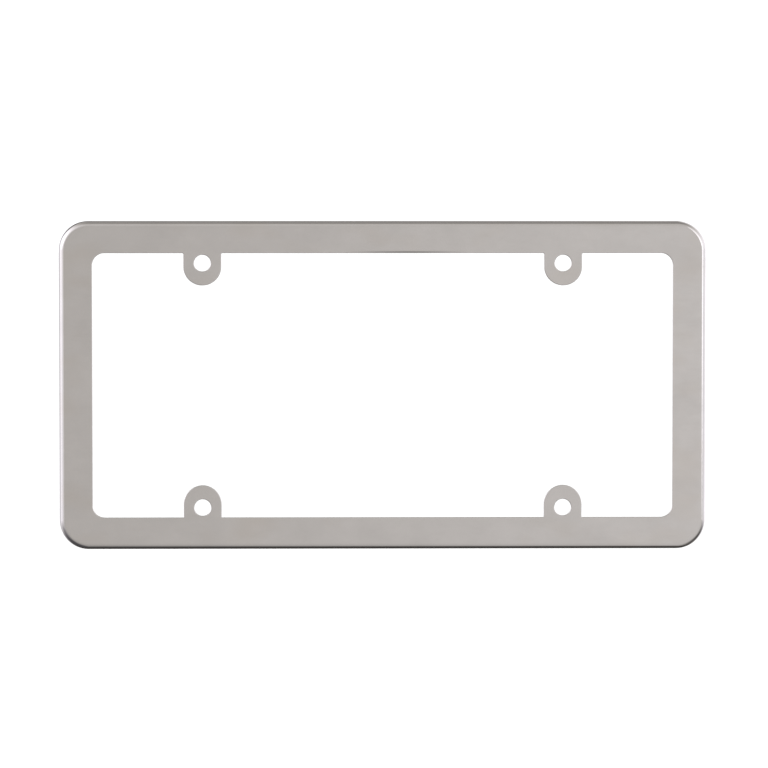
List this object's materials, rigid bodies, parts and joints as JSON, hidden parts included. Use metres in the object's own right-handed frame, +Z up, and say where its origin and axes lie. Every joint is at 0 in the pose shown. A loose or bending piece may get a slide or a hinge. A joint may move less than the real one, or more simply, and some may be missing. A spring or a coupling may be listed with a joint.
{
  "type": "number plate frame",
  "caption": "Pressed polished steel frame that holds a vehicle number plate behind a rounded window, bolted through four round-ended tabs.",
  "frame": {"origin": "centre of the rectangle of bolt holes, on the back of the face, where the number plate lies", "axes": "+Z up as worn on the vehicle, -Y out of the polished face, +Y into the pocket behind it, X along the width"},
  "size_m": [0.3192, 0.007, 0.162],
  "materials": {
    "polished_steel": "polished"
  },
  "bodies": {
    "root": {"plate_frame": "polished_steel"}
  },
  "joints": []
}
